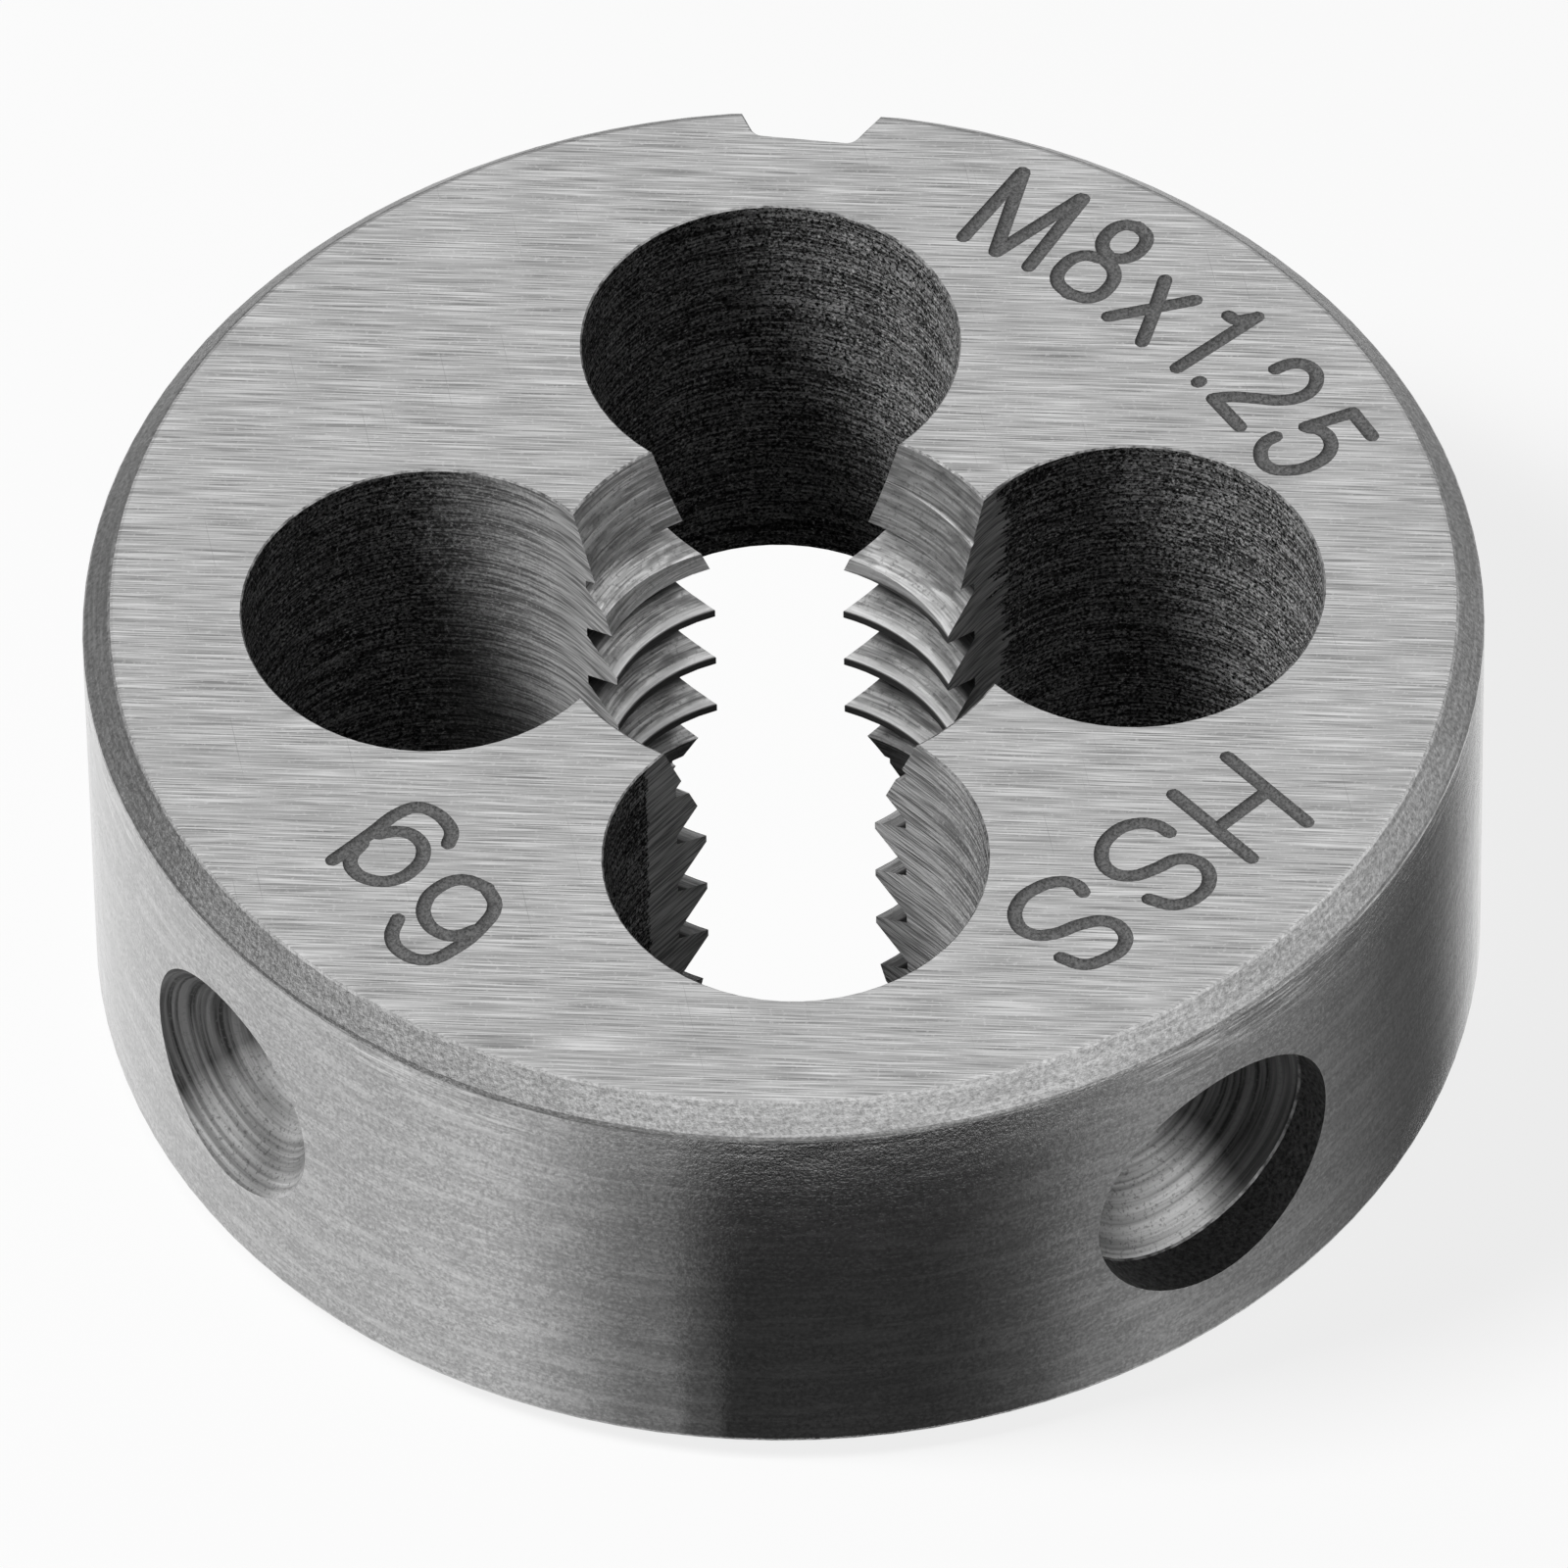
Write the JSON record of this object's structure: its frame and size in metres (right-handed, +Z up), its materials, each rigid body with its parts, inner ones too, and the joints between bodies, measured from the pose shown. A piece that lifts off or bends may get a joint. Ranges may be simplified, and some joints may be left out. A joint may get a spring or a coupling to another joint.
{
  "type": "round threading die",
  "caption": "Flat round steel die with a threaded bore, chip holes opening into it, chamfered rim, a notch and pointed screw seats.",
  "frame": {"origin": "centre of the bottom face, on the axis of the bore", "axes": "+Z up along the bore; the chip holes stand on the X and Y axes and the notch is beside +Y"},
  "size_m": [0.025, 0.025, 0.009],
  "materials": {
    "steel": "ground faces, turned rim, bored and threaded holes"
  },
  "bodies": {
    "root": {"threading_die": "steel"}
  },
  "joints": []
}
